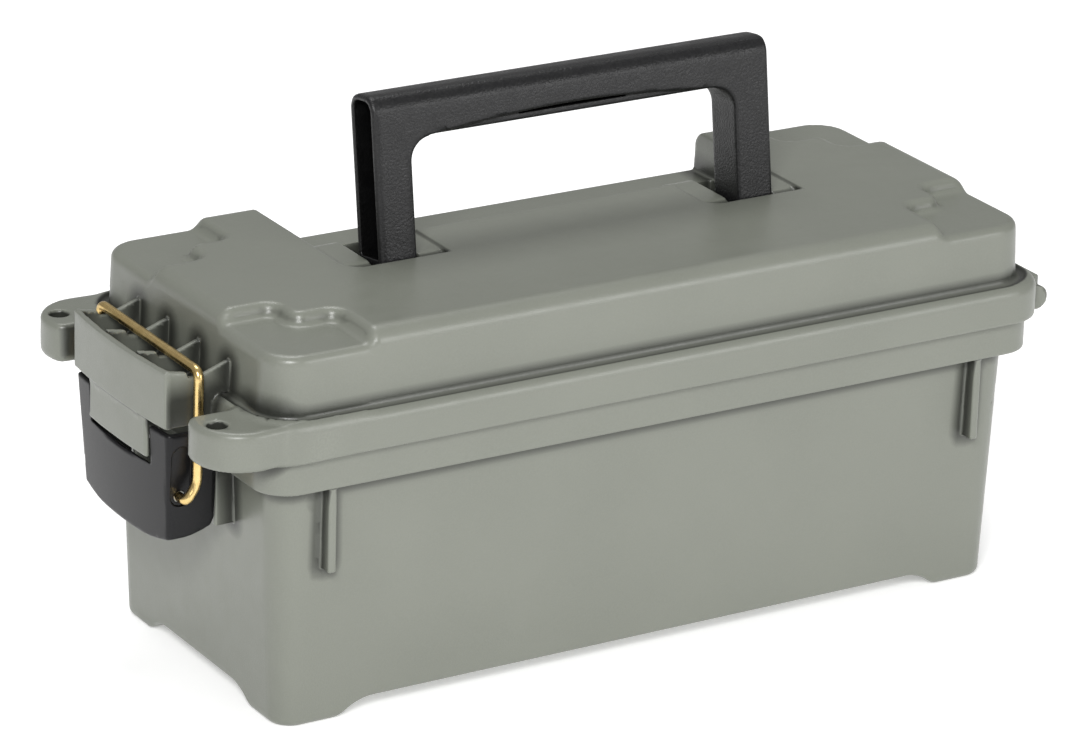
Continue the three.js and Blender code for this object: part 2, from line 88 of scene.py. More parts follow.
WALL = 2.4
DOME = {"x": 152.4, "y": FLANGE_Y - 7.5, "corner": 12.7, "foot": 1.1, "edge": 6.0}
FLANGE = {"x": 159.9, "y": FLANGE_Y, "corner": 17.0, "bottom": 102.2, "top": LID_TOP - 25.1, "edge": 4.6}
GROOVE = {"out": 1.9, "radius": 1.8}
TUB = {"x": 146.9, "y": 59.0, "corner": 8.7, "draft": 0.037, "notch": 5.9, "floor": 8.5, "edge": 2.6}
COLLAR = {"x": 156.4, "y": 68.5, "corner": 13.0, "bottom": 89.5}
FOOT = {"x": 120.0, "y": 34.0, "slope": 4.0}
STIFFENER = {"x": 131.5, "thick": 3.0, "face": 67.3, "bottom": 58.5}
BAY = {"x": 93.0, "front": 17.0, "floor": LID_TOP - 15.5}
POCKET = {"width": 28.4, "lefts": (-82.0, 64.0), "back": 51.0, "floor": LID_TOP - 21.5, "lip": -7.9}
BOSS = {
    "width": 11.0, "front": -8.3, "back": 26.0, "round": 8.0, "below": 1.2, "corner": 6.0, "inner": 18.4,
}
STACK = {"steps": ((115.5, 39.0), (132.0, 25.0)), "depth": 4.8, "round": 3.0, "corner": 5.0}
EAR = {
    "x": -161.0, "y": 55.0, "radius": 17.0, "inner": 47.0, "hole": (-171.0, 58.5), "bore": 3.6, "top": 116.4,
    "taper": 0.07, "end": -118.0,
}
CATCH = {"x": -177.5, "bulge": 2.0, "y": 34.0, "thick": 2.2, "bottom": 106.7, "top": 127.2, "rib": 11.3}
TONGUE = {"y": 21.2, "end": 92.6}
TAB = {"bottom": 102.6, "top": 107.9, "inset": 2.7}
BRACKET = {"near": 23.6, "far": 27.6, "radius": 2.7, "bore": 1.9, "root": 80.5}
FIN = {"near": 28.5, "far": 31.0, "x": -156.9, "bottom": 67.0}
KNUCKLE = {"radius": 4.5, "bore": 2.3, "half": 55.0, "count": 5, "gap": 0.3, "cap": 0.9}
LEVER = {
    "x": -176.5, "bulge": 1.8, "y": 34.0, "thick": 2.2, "top": 104.2, "low": 64.8, "back": -157.4,
    "inset": 3.0, "rake": 1.7, "sag": 5.4, "front_turn": 9.35, "back_turn": 12.1,
}
NOTCH = {"half": 22.0, "below": 1.9, "sag": 1.0}
PIN = {"radius": 1.6, "half": 31.0, "lug": 3.0, "hinge": 2.0}
WIRE = {"radius": 1.75, "x": -166.0, "z": 126.5, "y": 36.1, "inner": 30.6}
GRIP = {"x": 80.5, "web": 65.9, "half": 8.34, "top": 68.3, "under": 51.6, "window": 8.0}
SCALLOP = {"radius": 467.0, "rise": 3.6, "depth": 2.2}
STUD = {"radius": 4.0, "bore": 4.4, "length": 7.5}
LEAN = math.radians(8)
SEAT = {"over": 0.3, "under": 1.3, "low": 1.7}
CRIMP = {"low": 113.6, "high": 114.4, "depth": 0.35}
SLOT = {"low": 0.8, "high": 15.0, "radius": 3.9, "depth": 1.2}
LIP_TURN = 9.0

PITCH = 0.5
# reaches for the openness that paints shade into recesses
OPEN_REACHES = (2.0, 7.0, 14.0)


# ---- shapes as distance fields: negative inside, positive outside --------------------------------
class Space:
    """A block of evenly spaced sample points."""

    def __init__(self, low, high, pitch=None):
        self.pitch = pitch or PITCH
        self.low = np.array(low, dtype=float)
        counts = np.ceil((np.array(high) - self.low) / self.pitch).astype(int) + 1
        steps = [self.low[i] + self.pitch * np.arange(counts[i]) for i in range(3)]
        self.x, self.y, self.z = np.ix_(*[values.astype(np.float32) for values in steps])


def both(a, b, radius=0.0):
    """The overlap of two shapes, its edges rounded to a radius."""
    if radius == 0:
        return np.maximum(a, b)
    inside = np.minimum(np.maximum(a, b), -radius)
    return inside + np.sqrt(np.square(np.maximum(a + radius, 0)) + np.square(np.maximum(b + radius, 0)))


def either(a, b, radius=0.0):
    """Two shapes joined, with a fillet of a radius."""
    return -both(-a, -b, radius)


def cut(a, b, radius=0.0):
    """One shape with another taken away."""
    return both(a, -b, radius)


def span(values, low, high):
    """Between two parallel planes."""
    return np.abs(values - (low + high) / 2) - (high - low) / 2


def rectangle(u, v, half_u, half_v, corner=0.0):
    du = np.abs(u) - half_u + corner
    dv = np.abs(v) - half_v + corner
    outside = np.sqrt(np.square(np.maximum(du, 0)) + np.square(np.maximum(dv, 0)))
    return outside + np.minimum(np.maximum(du, dv), 0) - corner


def disc(u, v, centre, radius):
    return np.sqrt(np.square(u - centre[0]) + np.square(v - centre[1])) - radius


def polygon(u, v, points):
    """Distance to an outline through points, in the plane of u and v."""
    points = np.array(points, dtype=np.float32)
    nearest = np.full(np.broadcast(u, v).shape, 1e12, dtype=np.float32)
    inside = np.zeros(nearest.shape, dtype=bool)
    for (au, av), (bu, bv) in zip(points, np.roll(points, -1, axis=0)):
        eu, ev = bu - au, bv - av
        along = np.clip(((u - au) * eu + (v - av) * ev) / (eu * eu + ev * ev), 0, 1)
        nearest = np.minimum(nearest, np.square(u - au - along * eu) + np.square(v - av - along * ev))
        if ev != 0:
            crosses = ((av > v) != (bv > v)) & (u < au + eu * (v - av) / ev)
            inside ^= crosses
    return np.where(inside, -1, 1) * np.sqrt(nearest)


def ramp(values, low, high):
    """A straight change between two (place, amount) pairs, held beyond them."""
    amounts = np.interp(values.ravel(), [low[0], high[0]], [low[1], high[1]])
    return amounts.astype(np.float32).reshape(values.shape)


# ---- fields to meshes ----------------------------------------------------------------------------
def sample(space, field, points):
    """The field's value at points, between its samples."""
    place = np.clip((points - space.low) / space.pitch, 0, np.array(field.shape) - 1.001)
    cell = place.astype(int)
    part = place - cell
    value = np.zeros(len(points))
    for corner in np.ndindex(2, 2, 2):
        weight = np.prod(np.where(corner, part, 1 - part), axis=1)
        i, j, k = (cell + corner).T
        value += weight * field[i, j, k]
    return value


def gradient(space, field, points):
    """How the field changes about points, along x, y and z."""
    sides = []
    for shift in np.eye(3) * space.pitch * 0.6:
        sides.append(sample(space, field, points + shift) - sample(space, field, points - shift))
    return np.stack(sides, axis=1)


def openness(space, field, points, normals):
    """How open the room in front of the surface is, from 0 deep in a recess to 1 on a plain face; it sets
    the painted recess shade.
    """
    clear = np.ones(len(points))
    high = space.low + space.pitch * (np.array(field.shape) - 1)
    for reach in OPEN_REACHES:
        ahead = np.clip(points + normals * reach, space.low, high)
        gone = np.linalg.norm(ahead - points, axis=1)
        clear *= np.clip(sample(space, field, ahead) / np.maximum(gone, 0.5), 0, 1)
    return clear


def moulding(name, space, field, place=None, adaptivity=0.05):
    """A piece bounded by the field's zero surface, with its exact normals, edge sharpness and openness."""
    band = 3 * space.pitch
    grid = openvdb.FloatGrid(band)
    grid.copyFromArray(np.clip(field, -band, band).astype(np.float32))
    points, triangles, quads = grid.convertToPolygons(isovalue=0.0, adaptivity=adaptivity)
    points = space.low + points * space.pitch
    slope = gradient(space, field, points)
    normals = slope / np.maximum(np.linalg.norm(slope, axis=1, keepdims=True), 1e-9)
    ahead = gradient(space, field, points + normals * space.pitch)
    bend = (np.linalg.norm(slope, axis=1) - np.linalg.norm(ahead, axis=1)) / space.pitch
    mesh = mesh_of(name, points, [triangles, quads], place)
    turn = np.array(place.to_3x3()) if place else np.eye(3)
    mesh.normals_split_custom_set_from_vertices(normals @ turn.T)
    mesh.attributes.new("edge", "FLOAT", "POINT").data.foreach_set("value", bend.astype(np.float32))
    # openness, which the materials turn into painted shade in recesses
    clear = openness(space, field, points, normals)
    mesh.attributes.new("open", "FLOAT", "POINT").data.foreach_set("value", clear.astype(np.float32))
    return shown(name, mesh)


def mesh_of(name, points, face_sets, place=None):
    """A smooth mesh from points in millimetres about the centre lines."""
    corners = np.concatenate([faces.ravel() for faces in face_sets]).astype(np.int32)
    sizes = np.concatenate([np.full(len(faces), faces.shape[1]) for faces in face_sets])
    starts = np.concatenate([[0], np.cumsum(sizes)[:-1]]).astype(np.int32)
    if place is not None:
        points = points @ np.array(place.to_3x3()).T + np.array(place.translation)
    mesh = bpy.data.meshes.new(name)
    mesh.vertices.add(len(points))
    mesh.vertices.foreach_set("co", ((points + CENTRE) * MM).ravel())
    mesh.loops.add(len(corners))
    mesh.loops.foreach_set("vertex_index", corners)
    mesh.polygons.add(len(sizes))
    mesh.polygons.foreach_set("loop_start", starts)
    mesh.update(calc_edges=True)
    mesh.polygons.foreach_set("use_smooth", np.ones(len(sizes), dtype=bool))
    mesh.validate()
    return mesh


def shown(name, mesh):
    piece = bpy.data.objects.new(name, mesh)
    bpy.context.scene.collection.objects.link(piece)
    return piece


# ---- lid -----------------------------------------------------------------------------------------
def handle_recess(s):
    """The bay behind the handle and the two pockets its legs turn in."""
    up = BAY["floor"] - s.z
    bay = both(both(span(s.x, -BAY["x"], BAY["x"]), BAY["front"] - s.y, 2.0), up, 1.0)
    for left in POCKET["lefts"]:
        right = left + POCKET["width"]
        pocket = both(span(s.x, left, right), span(s.y, POCKET["lip"], POCKET["back"]), 1.5)
        bay = either(bay, both(pocket, POCKET["floor"] - s.z, 1.0))
        beside = span(s.x, left - BOSS["width"], left + BOSS["corner"] + 1)
        beside = both(beside, span(s.y, POCKET["lip"], BAY["front"] + BOSS["corner"]), BOSS["corner"])
        bay = either(bay, both(beside, up, 1.0))
    return bay


def bosses(s):
    """Round-topped bosses on either side of each leg, a little lower than the lid's top."""
    middle, half = (BOSS["back"] + BOSS["front"]) / 2, (BOSS["back"] - BOSS["front"]) / 2
    depth = LID_TOP - BOSS["below"] - BAY["floor"]
    profile = rectangle(s.y - middle, s.z - BAY["floor"], half, depth, BOSS["round"])
    sides = [(left - BOSS["width"] - 1, left) for left in POCKET["lefts"]]
    sides += [(left + BOSS["inner"], left + POCKET["width"] + 1) for left in POCKET["lefts"]]
    return [both(profile, span(s.x, *side), 0.8) for side in sides]


def stacking_steps(s):
    """Stepped recesses at the four corners of the top."""
    along, across = np.abs(s.x), np.abs(s.y)
    plans = [both(x - along, y - across, STACK["corner"]) for x, y in STACK["steps"]]
    plan = either(plans[0], plans[1], STACK["corner"])
    return both(plan, LID_TOP - STACK["depth"] - s.z, STACK["round"])


def ears(s):
    """The padlock ears beside the catch, without their holes."""
    return both(ear_plan(s, 0), span(s.z, FLANGE["bottom"], EAR["top"]), 2.2)


def catch(s):
    """A bowed plate on four ribs, with a tongue below it."""
    across = np.abs(s.y)
    bow = CATCH["x"] - CATCH["bulge"] * (1 - np.square(s.y / CATCH["y"]))
    skin = span(s.x - bow, 0, CATCH["thick"])
    plate = both(skin, across - CATCH["y"], 0.5)
    plate = both(plate, span(s.z, CATCH["bottom"], CATCH["top"]), 0.5)
    inner = span(s.x - bow, 0.5, CATCH["thick"])
    tongue = both(both(inner, across - TONGUE["y"], 0.5), span(s.z, TONGUE["end"], CATCH["top"] - 4), 0.5)
    behind, root = CATCH["x"] + CATCH["thick"] / 2, -150.0
    profile = polygon(s.x, s.z, [
        (behind, CATCH["bottom"]), (behind, CATCH["top"]), (-169.5, 125.9), (-168.4, 124.0), (-164.6, 123.7),
        (-154, CATCH["top"] + 0.3), (root, CATCH["top"] + 0.3), (root, CATCH["bottom"]),
    ])
    ribs = both(profile, span(across, CATCH["rib"] - 1.1, CATCH["rib"] + 1.1), 0.4)
    ends = both(profile, span(across, CATCH["y"] - CATCH["thick"], CATCH["y"]), 0.4)
    return either(either(plate, tongue), either(ribs, ends), 0.5)


def ear_plan(s, inset):
    """A padlock ear seen from above: one large round corner and a straight inner side."""
    across = np.abs(s.y)
    plate = disc(s.x, across, (EAR["x"], EAR["y"]), EAR["radius"] - inset)
    taper = EAR["taper"] * np.maximum(s.x - EAR["x"], 0)
    root = both(span(s.x, EAR["x"], EAR["end"]), across - EAR["y"] - EAR["radius"] + inset + taper)
    return both(either(plate, root), EAR["inner"] + inset - across, 3.0)


def knuckles(s, first, web):
    """Every second knuckle along the hinge, each on its own web."""
    pitch = 2 * KNUCKLE["half"] / KNUCKLE["count"]
    place = (s.y + KNUCKLE["half"]) / pitch - 0.5 - first
    nearest = np.abs(place - 2 * np.clip(np.round(place / 2), 0, (KNUCKLE["count"] - 1) // 2 - first))
    lengths = nearest * pitch - pitch / 2 + KNUCKLE["gap"]
    barrel = disc(s.x, s.z, HINGE[[0, 2]], KNUCKLE["radius"])
    barrel = either(barrel, both(span(s.x, *web[0]), span(s.z, *web[1])), 0.8)
    return both(barrel, lengths, 0.5)


def hinge_bore(s):
    """The hole for the hinge rod, closed by a skin at both ends."""
    hole = disc(s.x, s.z, HINGE[[0, 2]], KNUCKLE["bore"])
    return both(hole, np.abs(s.y) - KNUCKLE["half"] + KNUCKLE["cap"])


def lid_field(s):
    outline = rectangle(s.x, s.y, DOME["x"], DOME["y"], DOME["corner"])
    dome = outline - ramp(s.z, (FLANGE["top"], DOME["foot"]), (LID_TOP, 0))
    dome = both(dome, s.z - LID_TOP, DOME["edge"])
    flange_plan = rectangle(s.x, s.y, FLANGE["x"], FLANGE["y"], FLANGE["corner"])
    flange = both(flange_plan, s.z - FLANGE["top"], FLANGE["edge"])
    body = either(dome, flange, 0.6)
    foot = outline - DOME["foot"] - GROOVE["out"]
    groove = np.sqrt(np.square(foot) + np.square(s.z - FLANGE["top"])) - GROOVE["radius"]
    body = cut(body, handle_recess(s), 1.2)
    body = cut(body, stacking_steps(s), STACK["round"])
    for boss in bosses(s):
        body = either(body, both(boss, dome), 0.8)
    skin = cut(body, body + WALL)
    ring = both(outline - SEAT["over"], -SEAT["under"] - outline)
    seat = both(ring, span(s.z, RIM - SEAT["low"], FLANGE["top"]))
    skin = either(skin, seat)
    lid = both(skin, FLANGE["bottom"] - s.z, 0.8)
    lid = cut(either(lid, ears(s), 2.4), groove, 0.5)
    lid = either(lid, cut(catch(s), body + 0.5), 0.5)
    lid = cut(lid, both(ear_plan(s, TAB["inset"] - 0.3), s.z - TAB["top"] - 0.3))
    lid = cut(lid, disc(s.x, np.abs(s.y), EAR["hole"], EAR["bore"]), 0.6)
    for left in POCKET["lefts"]:
        bore = disc(s.y, s.z, SWING[[1, 2]], STUD["bore"])
        lid = cut(lid, both(bore, span(s.x, left - STUD["length"] - 1, left + 1)))
    strap = ((FLANGE["x"] - 2, HINGE[0]), (HINGE[2], HINGE[2] + 9))
    lid = either(lid, knuckles(s, 0, strap), 0.5)
    return cut(lid, hinge_bore(s))


# ---- base ----------------------------------------------------------------------------------------
def foot_notch(s, values, half):
    """The low arch between two feet, with sloping sides."""
    slope = 2 * FOOT["slope"] / TUB["notch"]
    side = (np.abs(values) - half - FOOT["slope"] + slope * s.z) / math.hypot(1, slope)
    return both(side, s.z - TUB["notch"], 3.0)


def latch_mounts(s):
    """The arms that carry the lever's pin, and the fins beside them."""
    across = np.abs(s.y)
    arm = polygon(s.x, s.z, [
        (LATCH[0], LATCH[2] + BRACKET["radius"]), (LATCH[0], LATCH[2] - BRACKET["radius"]),
        (-149, BRACKET["root"]), (-149, LATCH[2] + BRACKET["radius"]),
    ])
    arm = either(arm, disc(s.x, s.z, LATCH[[0, 2]], BRACKET["radius"]))
    arm = both(arm, span(across, BRACKET["near"], BRACKET["far"]), 0.4)
    arm = cut(arm, disc(s.x, s.z, LATCH[[0, 2]], BRACKET["bore"]))
    fin = both(span(s.x, FIN["x"], -148), span(s.z, FIN["bottom"], COLLAR["bottom"] + 1), 0.6)
    return either(arm, both(fin, span(across, FIN["near"], FIN["far"]), 0.5))


def base_field(s):
    wall = rectangle(s.x, s.y, TUB["x"], TUB["y"], TUB["corner"]) - TUB["draft"] * s.z
    collar = rectangle(s.x, s.y, COLLAR["x"], COLLAR["y"], COLLAR["corner"])
    tub = either(wall, both(collar, COLLAR["bottom"] - s.z, 1.0), 1.0)
    outside = both(tub, -s.z, TUB["edge"])
    half = STIFFENER["thick"] / 2
    for x in (-STIFFENER["x"], STIFFENER["x"]):
        rib = both(span(s.x - x, -half, half), np.abs(s.y) - STIFFENER["face"], 0.8)
        rib = both(rib, span(s.z, STIFFENER["bottom"], COLLAR["bottom"] + 1), 0.8)
        outside = either(outside, rib, 0.8)
    outside = either(outside, latch_mounts(s), 0.5)
    base = both(outside, s.z - RIM, 0.7)
    web = ((COLLAR["x"] - 1, HINGE[0]), (HINGE[2] - KNUCKLE["radius"], FLANGE["bottom"] - 0.3))
    base = either(base, knuckles(s, 1, web), 0.5)
    tab = both(ear_plan(s, TAB["inset"]), span(s.z, TAB["bottom"], TAB["top"]), 0.5)
    base = either(base, cut(tab, disc(s.x, np.abs(s.y), EAR["hole"], EAR["bore"] - 0.1)))
    base = cut(base, both(tub + WALL, TUB["floor"] - s.z, 2.5))
    base = cut(base, foot_notch(s, s.x, FOOT["x"]), 1.2)
    base = cut(base, foot_notch(s, s.y, FOOT["y"]), 1.2)
    return cut(base, hinge_bore(s))


# ---- carry handle, upright about its own pivot ---------------------------------------------------
def handle_field(s):
    half, web = GRIP["half"], GRIP["web"]
    middle = (GRIP["top"] - 40) / 2
    outer = rectangle(s.x, s.z - middle, GRIP["x"], middle + 40, 2.0)
    window_low = -60.0
    reach = (GRIP["under"] - window_low) / 2
    window = rectangle(s.x, s.z - window_low - reach, web, reach, GRIP["window"])
    frame_plan = cut(outer, window)
    heel = either(disc(s.y, s.z, (0, 0), half), both(np.abs(s.y) - half, -s.z))
    side = both(heel, s.z - GRIP["top"], 6.4)
    handle = both(frame_plan, side, 1.3)
    arch = disc(s.x, s.z, (0, GRIP["under"] + SCALLOP["rise"] - SCALLOP["radius"]), SCALLOP["radius"])
    scallop = both(both(arch, np.abs(s.x) - web + GRIP["window"]), s.y + half - SCALLOP["depth"])
    handle = cut(handle, scallop, 1.2)
    wide = np.abs(s.x)
    floor_line = ramp(wide, (web + WALL, 7.0), (GRIP["x"], 11.0))
    legs = both(both(web + WALL - wide, floor_line - s.z), s.z - GRIP["top"] + WALL)
    grip = both(GRIP["under"] + WALL - s.z, s.z - GRIP["top"] + WALL)
    hollow = both(either(legs, grip), side + WALL, 0.6)
    handle = cut(handle, hollow, 0.4)
    for face in (-GRIP["x"], web):
        stud = both(disc(s.y, s.z, (0, 0), STUD["radius"]), span(s.x, face - STUD["length"], face + 1), 0.5)
        handle = either(handle, stud)
    return handle


# ---- latch ---------------------------------------------------------------------------------------
def lever_profile(s):
    """The lever seen from the side: rounded upper corners, a raked back and a rounded heel."""
    front, back, top = LEVER["front_turn"], LEVER["back_turn"], LEVER["top"] - LATCH[2]
    arcs = (front, math.pi, math.pi - math.asin(top / front)), (back, math.asin(top / back), 0)
    points = []
    for turn, start, end in arcs:
        for angle in np.linspace(start, end, 9):
            points.append((LATCH[0] + turn * math.cos(angle), LATCH[2] + turn * math.sin(angle)))
    low, heel = LEVER["low"], LEVER["back"]
    points += [(heel, LATCH[2] - 4), (heel, low + 6), (heel - 1.2, low + 3.2), (heel - 4, low + 2)]
    points += [(-200, low - 10), (-200, LATCH[2])]
    return polygon(s.x, s.z, points)


def lever_field(s):
    fall = (LEVER["top"] - s.z) / (LEVER["top"] - LEVER["low"])
    across = np.abs(s.y) / (1 - LEVER["inset"] / LEVER["y"] * fall)
    along = s.x - LEVER["rake"] * fall
    bow = LEVER["x"] - LEVER["bulge"] * (1 - np.square(across / LEVER["y"]))
    block = both(bow - along, across - LEVER["y"], 1.6)
    block = both(block, lever_profile(s), 0.8)
    edge = LEVER["low"] + LEVER["sag"] / 3 - LEVER["sag"] * (1 - np.square(s.y / (LEVER["y"] + 2)))
    block = both(block, edge - s.z, 0.8)
    hollow = both(bow + LEVER["thick"] - along, across - LEVER["y"] + LEVER["thick"], 0.8)
    lever = cut(block, hollow, 0.3)
    bottom = TONGUE["end"] - NOTCH["below"] - NOTCH["sag"] * (1 - np.square(s.y / NOTCH["half"]))
    notch = both(np.abs(s.y) - NOTCH["half"], bottom - s.z, 0.8)
    notch = both(notch, s.x - LEVER["x"] - LEVER["thick"] - 2)
    lever = cut(lever, notch, 0.4)
    lip_turn = LIP_TURN - 0.8 * np.square(s.y / NOTCH["half"])
    lip = np.sqrt(np.square(s.x - LATCH[0]) + np.square(s.z - LATCH[2])) - lip_turn
    lever = cut(lever, both(lip, np.abs(s.y) - NOTCH["half"]), 0.2)
    above = s.z - np.clip(s.z, HOOK[2] + SLOT["low"], HOOK[2] + SLOT["high"])
    slot = np.sqrt(np.square(s.x - HOOK[0]) + np.square(above)) - SLOT["radius"]
    lever = cut(lever, both(slot, LEVER["y"] - SLOT["depth"] - across), 0.5)
    lever = cut(lever, disc(s.x, s.z, HOOK[[0, 2]], WIRE["radius"] + 0.3))
    lug = disc(s.x, s.z, LATCH[[0, 2]], PIN["lug"])
    lug = both(lug, span(np.abs(s.y), FIN["near"] - 0.5, LEVER["y"] - 1.9))
    bore = both(disc(s.x, s.z, LATCH[[0, 2]], BRACKET["bore"]), np.abs(s.y) - PIN["half"] - 0.3)
    return cut(either(lever, lug), bore)


def rounded_path(corners):
    """Points along straight runs whose corners are rounded over each corner's own length."""
    points = [np.array(place, dtype=float) for place, _ in corners]
    path = [points[0]]
    for i in range(1, len(points) - 1):
        reach = corners[i][1]
        before = points[i] + (points[i - 1] - points[i]) * reach / np.linalg.norm(points[i - 1] - points[i])
        after = points[i] + (points[i + 1] - points[i]) * reach / np.linalg.norm(points[i + 1] - points[i])
        for t in np.linspace(0, 1, 7):
            path.append((1 - t) ** 2 * before + 2 * t * (1 - t) * points[i] + t ** 2 * after)
    return path + [points[-1]]


def wire(s, path, radius):
    """Distance to a wire along a path."""
    nearest = None
    for a, b in zip(path, path[1:]):
        run = (b - a).astype(np.float32)
        if float(run @ run) < 1e-9:
            continue
        u, v, w = s.x - a[0], s.y - a[1], s.z - a[2]
        t = np.clip((u * run[0] + v * run[1] + w * run[2]) / (run @ run), 0, 1)
        gap = np.square(u - t * run[0]) + np.square(v - t * run[1]) + np.square(w - t * run[2])
        nearest = gap if nearest is None else np.minimum(nearest, gap)
    return np.sqrt(nearest) - radius


def bail_field(s):
    low, leg, y = HOOK[2], WIRE["x"] - 0.5, WIRE["y"]
    half = [
        ((HOOK[0], -WIRE["inner"], low), 0), ((HOOK[0], -y, low), 2.8), ((leg, -y, low + 6), 2.8),
        ((WIRE["x"], -y, WIRE["z"]), 3.4),
    ]
    other = [((x, -across, z), reach) for (x, across, z), reach in reversed(half)]
    field = wire(s, rounded_path(half + other), WIRE["radius"])
    field = both(field, np.abs(s.y) - y - WIRE["radius"] - 1)
    crimp = both(span(s.z, CRIMP["low"], CRIMP["high"]), -s.y - y - WIRE["radius"] + CRIMP["depth"])
    return cut(field, both(both(crimp, -30 - s.y), s.y + y + 1.2), 0.1)


# ---- pins and seal -------------------------------------------------------------------------------
def pin_field(s, at, radius, half):
    return both(disc(s.x, s.z, at[[0, 2]], radius), np.abs(s.y) - half, 0.5)


def hinge_rod_field(s):
    return pin_field(s, HINGE, PIN["hinge"], KNUCKLE["half"] - 1.2)


def latch_rod_field(s):
    return pin_field(s, LATCH, PIN["radius"], PIN["half"])


def gasket_field(s):
    outline = rectangle(s.x, s.y, DOME["x"], DOME["y"], DOME["corner"])
    low, high = extent("lid_gasket")[0][2], extent("lid_gasket")[1][2]
    return both(span(outline, 0.8, 4.2), span(s.z, low, high), 0.9)


# ---- materials -----------------------------------------------------------------------------------
def socket_of(node, key):
    """A node's input, by its name with underscores for spaces."""
    return next(socket for socket in node.inputs if socket.name.lower() == key.replace("_", " "))


class Surface:
    """A material built from procedural nodes in the piece's own coordinates."""

    def __init__(self, name, slot):
        self.slot = slot
        self.material = bpy.data.materials.new(name)
        self.material.use_nodes = True
        self.nodes = self.material.node_tree.nodes
        self.links = self.material.node_tree.links
        self.shader = self.nodes["Principled BSDF"]
        self.place = self.nodes.new("ShaderNodeTexCoord").outputs["Object"]

    def set(self, **values):
        for name, value in values.items():
            socket_of(self.shader, name).default_value = value

    def add(self, kind, settings=None, **inputs):
        node = self.nodes.new("ShaderNode" + kind)
        for key, value in (settings or {}).items():
            setattr(node, key, value)
        for key, value in inputs.items():
            socket = socket_of(node, key)
            if isinstance(value, bpy.types.NodeSocket):
                self.links.new(value, socket)
            else:
                socket.default_value = value
        return node

    def noise(self, size, detail=2.0, roughness=0.5, stretch=(1, 1, 1)):
        """Noise from 0 to 1 whose lumps are about a size in millimetres."""
        vector = self.place
        if stretch != (1, 1, 1):
            vector = self.add("Mapping", vector=self.place, scale=stretch).outputs["Vector"]
        scale = 1 / (size * MM)
        texture = self.add("TexNoise", vector=vector, scale=scale, detail=detail, roughness=roughness)
        return texture.outputs["Fac"]

    def level(self, value, low, high, to_low=0.0, to_high=1.0):
        """Value moved from one range to another, held at its ends."""
        ends = {"from_min": low, "from_max": high, "to_min": to_low, "to_max": to_high}
        return self.add("MapRange", value=value, **ends).outputs["Result"]

    def math(self, operation, a, b):
        node = self.add("Math", {"operation": operation})
        for socket, value in zip(node.inputs, (a, b)):
            if isinstance(value, bpy.types.NodeSocket):
                self.links.new(value, socket)
            else:
                socket.default_value = value
        return node.outputs["Value"]

    def blend(self, share, first, second):
        """A colour between two others."""
        node = self.add("Mix", {"data_type": "RGBA"})
        self.links.new(share, node.inputs["Factor"])
        for socket, colour in ((node.inputs["A"], first), (node.inputs["B"], second)):
            if isinstance(colour, bpy.types.NodeSocket):
                self.links.new(colour, socket)
            else:
                socket.default_value = (*colour, 1)
        return node.outputs["Result"]

    def bump(self, height, depth, strength=1.0, under=None):
        """A bump of a depth in millimetres, over another if given."""
        node = self.add("Bump", height=height, distance=depth * MM, strength=strength)
        if under is not None:
            self.links.new(under, node.inputs["Normal"])
        return node.outputs["Normal"]

    def edge(self, low, high):
        """How far a place is on a sharp outer edge."""
        sharp = self.add("Attribute", {"attribute_name": "edge"}).outputs["Fac"]
        return self.level(sharp, low, high)

    def painted_recess_shade(self, colour, darkest):
        """The colour with painted shade: darker deep in recesses, where shade would fall."""
        clear = self.add("Attribute", {"attribute_name": "open"}).outputs["Fac"]
        dark = self.add("Mix", {"data_type": "RGBA", "blend_type": "MULTIPLY"})
        dark.inputs["Factor"].default_value = 1.0
        self.links.new(colour, dark.inputs["A"])
        shade = self.blend(self.level(clear, 0.05, 0.62), (darkest, darkest, darkest), (1, 1, 1))
        self.links.new(shade, dark.inputs["B"])
        return dark.outputs["Result"]

    def finish(self, colour, roughness, normal):
        # painted shade: every colour is darkened in recesses, down to 0.2 of itself, by the open attribute
        colour = self.painted_recess_shade(colour, 0.2)
        self.links.new(colour, self.shader.inputs["Base Color"])
        self.links.new(roughness, self.shader.inputs["Roughness"])
        self.links.new(normal, self.shader.inputs["Normal"])
        return self


def olive_plastic():
    """Finely sparked moulded plastic with faint clouding, and edges lightened in specks: partly rubbed wear,
    partly a painted highlight.
    """
    surface = Surface("olive_plastic", "olive_plastic")
    cloud = surface.level(surface.noise(60, 3), 0.3, 0.7)
    colour = surface.blend(cloud, (0.163, 0.172, 0.145), (0.178, 0.187, 0.158))
    grain = surface.noise(0.55, 3, 0.6)
    colour = surface.blend(surface.level(grain, 0.35, 0.75, 0, 0.35), colour, (0.205, 0.213, 0.185))
    speckle = surface.level(surface.noise(0.9, 3), 0.4, 0.65, 0.25, 1)
    # painted highlight and wear: rounded edges lightened in specks, partly rubbed wear and partly painted
    # highlight sparkle
    edge_lightening = surface.math("MULTIPLY", surface.edge(0.05, 0.4), speckle)
    colour = surface.blend(surface.math("MULTIPLY", edge_lightening, 0.5), colour, (0.30, 0.31, 0.27))
    roughness = surface.level(surface.noise(9, 4), 0.3, 0.7, 0.28, 0.37)
    normal = surface.bump(grain, 0.06)
    flow = surface.noise(12, 2, 0.5, (0.12, 1, 1))
    normal = surface.bump(flow, 0.07, 1.0, normal)
    surface.set(specular_ior_level=0.5)
    return surface.finish(colour, roughness, normal)


def handle_plastic():
    """Black plastic with a coarse leather-like pebble."""
    surface = Surface("handle_plastic", "black_plastic")
    pebble = surface.noise(0.85, 2, 0.5)
    colour = surface.blend(surface.level(pebble, 0.3, 0.7), (0.006, 0.006, 0.0065), (0.012, 0.012, 0.0125))
    edge_lightening = surface.math("MULTIPLY", surface.edge(0.1, 0.7), 0.4)
    colour = surface.blend(edge_lightening, colour, (0.05, 0.05, 0.052))
    roughness = surface.level(surface.noise(6, 3), 0.3, 0.7, 0.32, 0.42)
    surface.set(specular_ior_level=0.36)
    normal = surface.bump(surface.level(pebble, 0.3, 0.7), 0.075)
    return surface.finish(colour, roughness, normal)


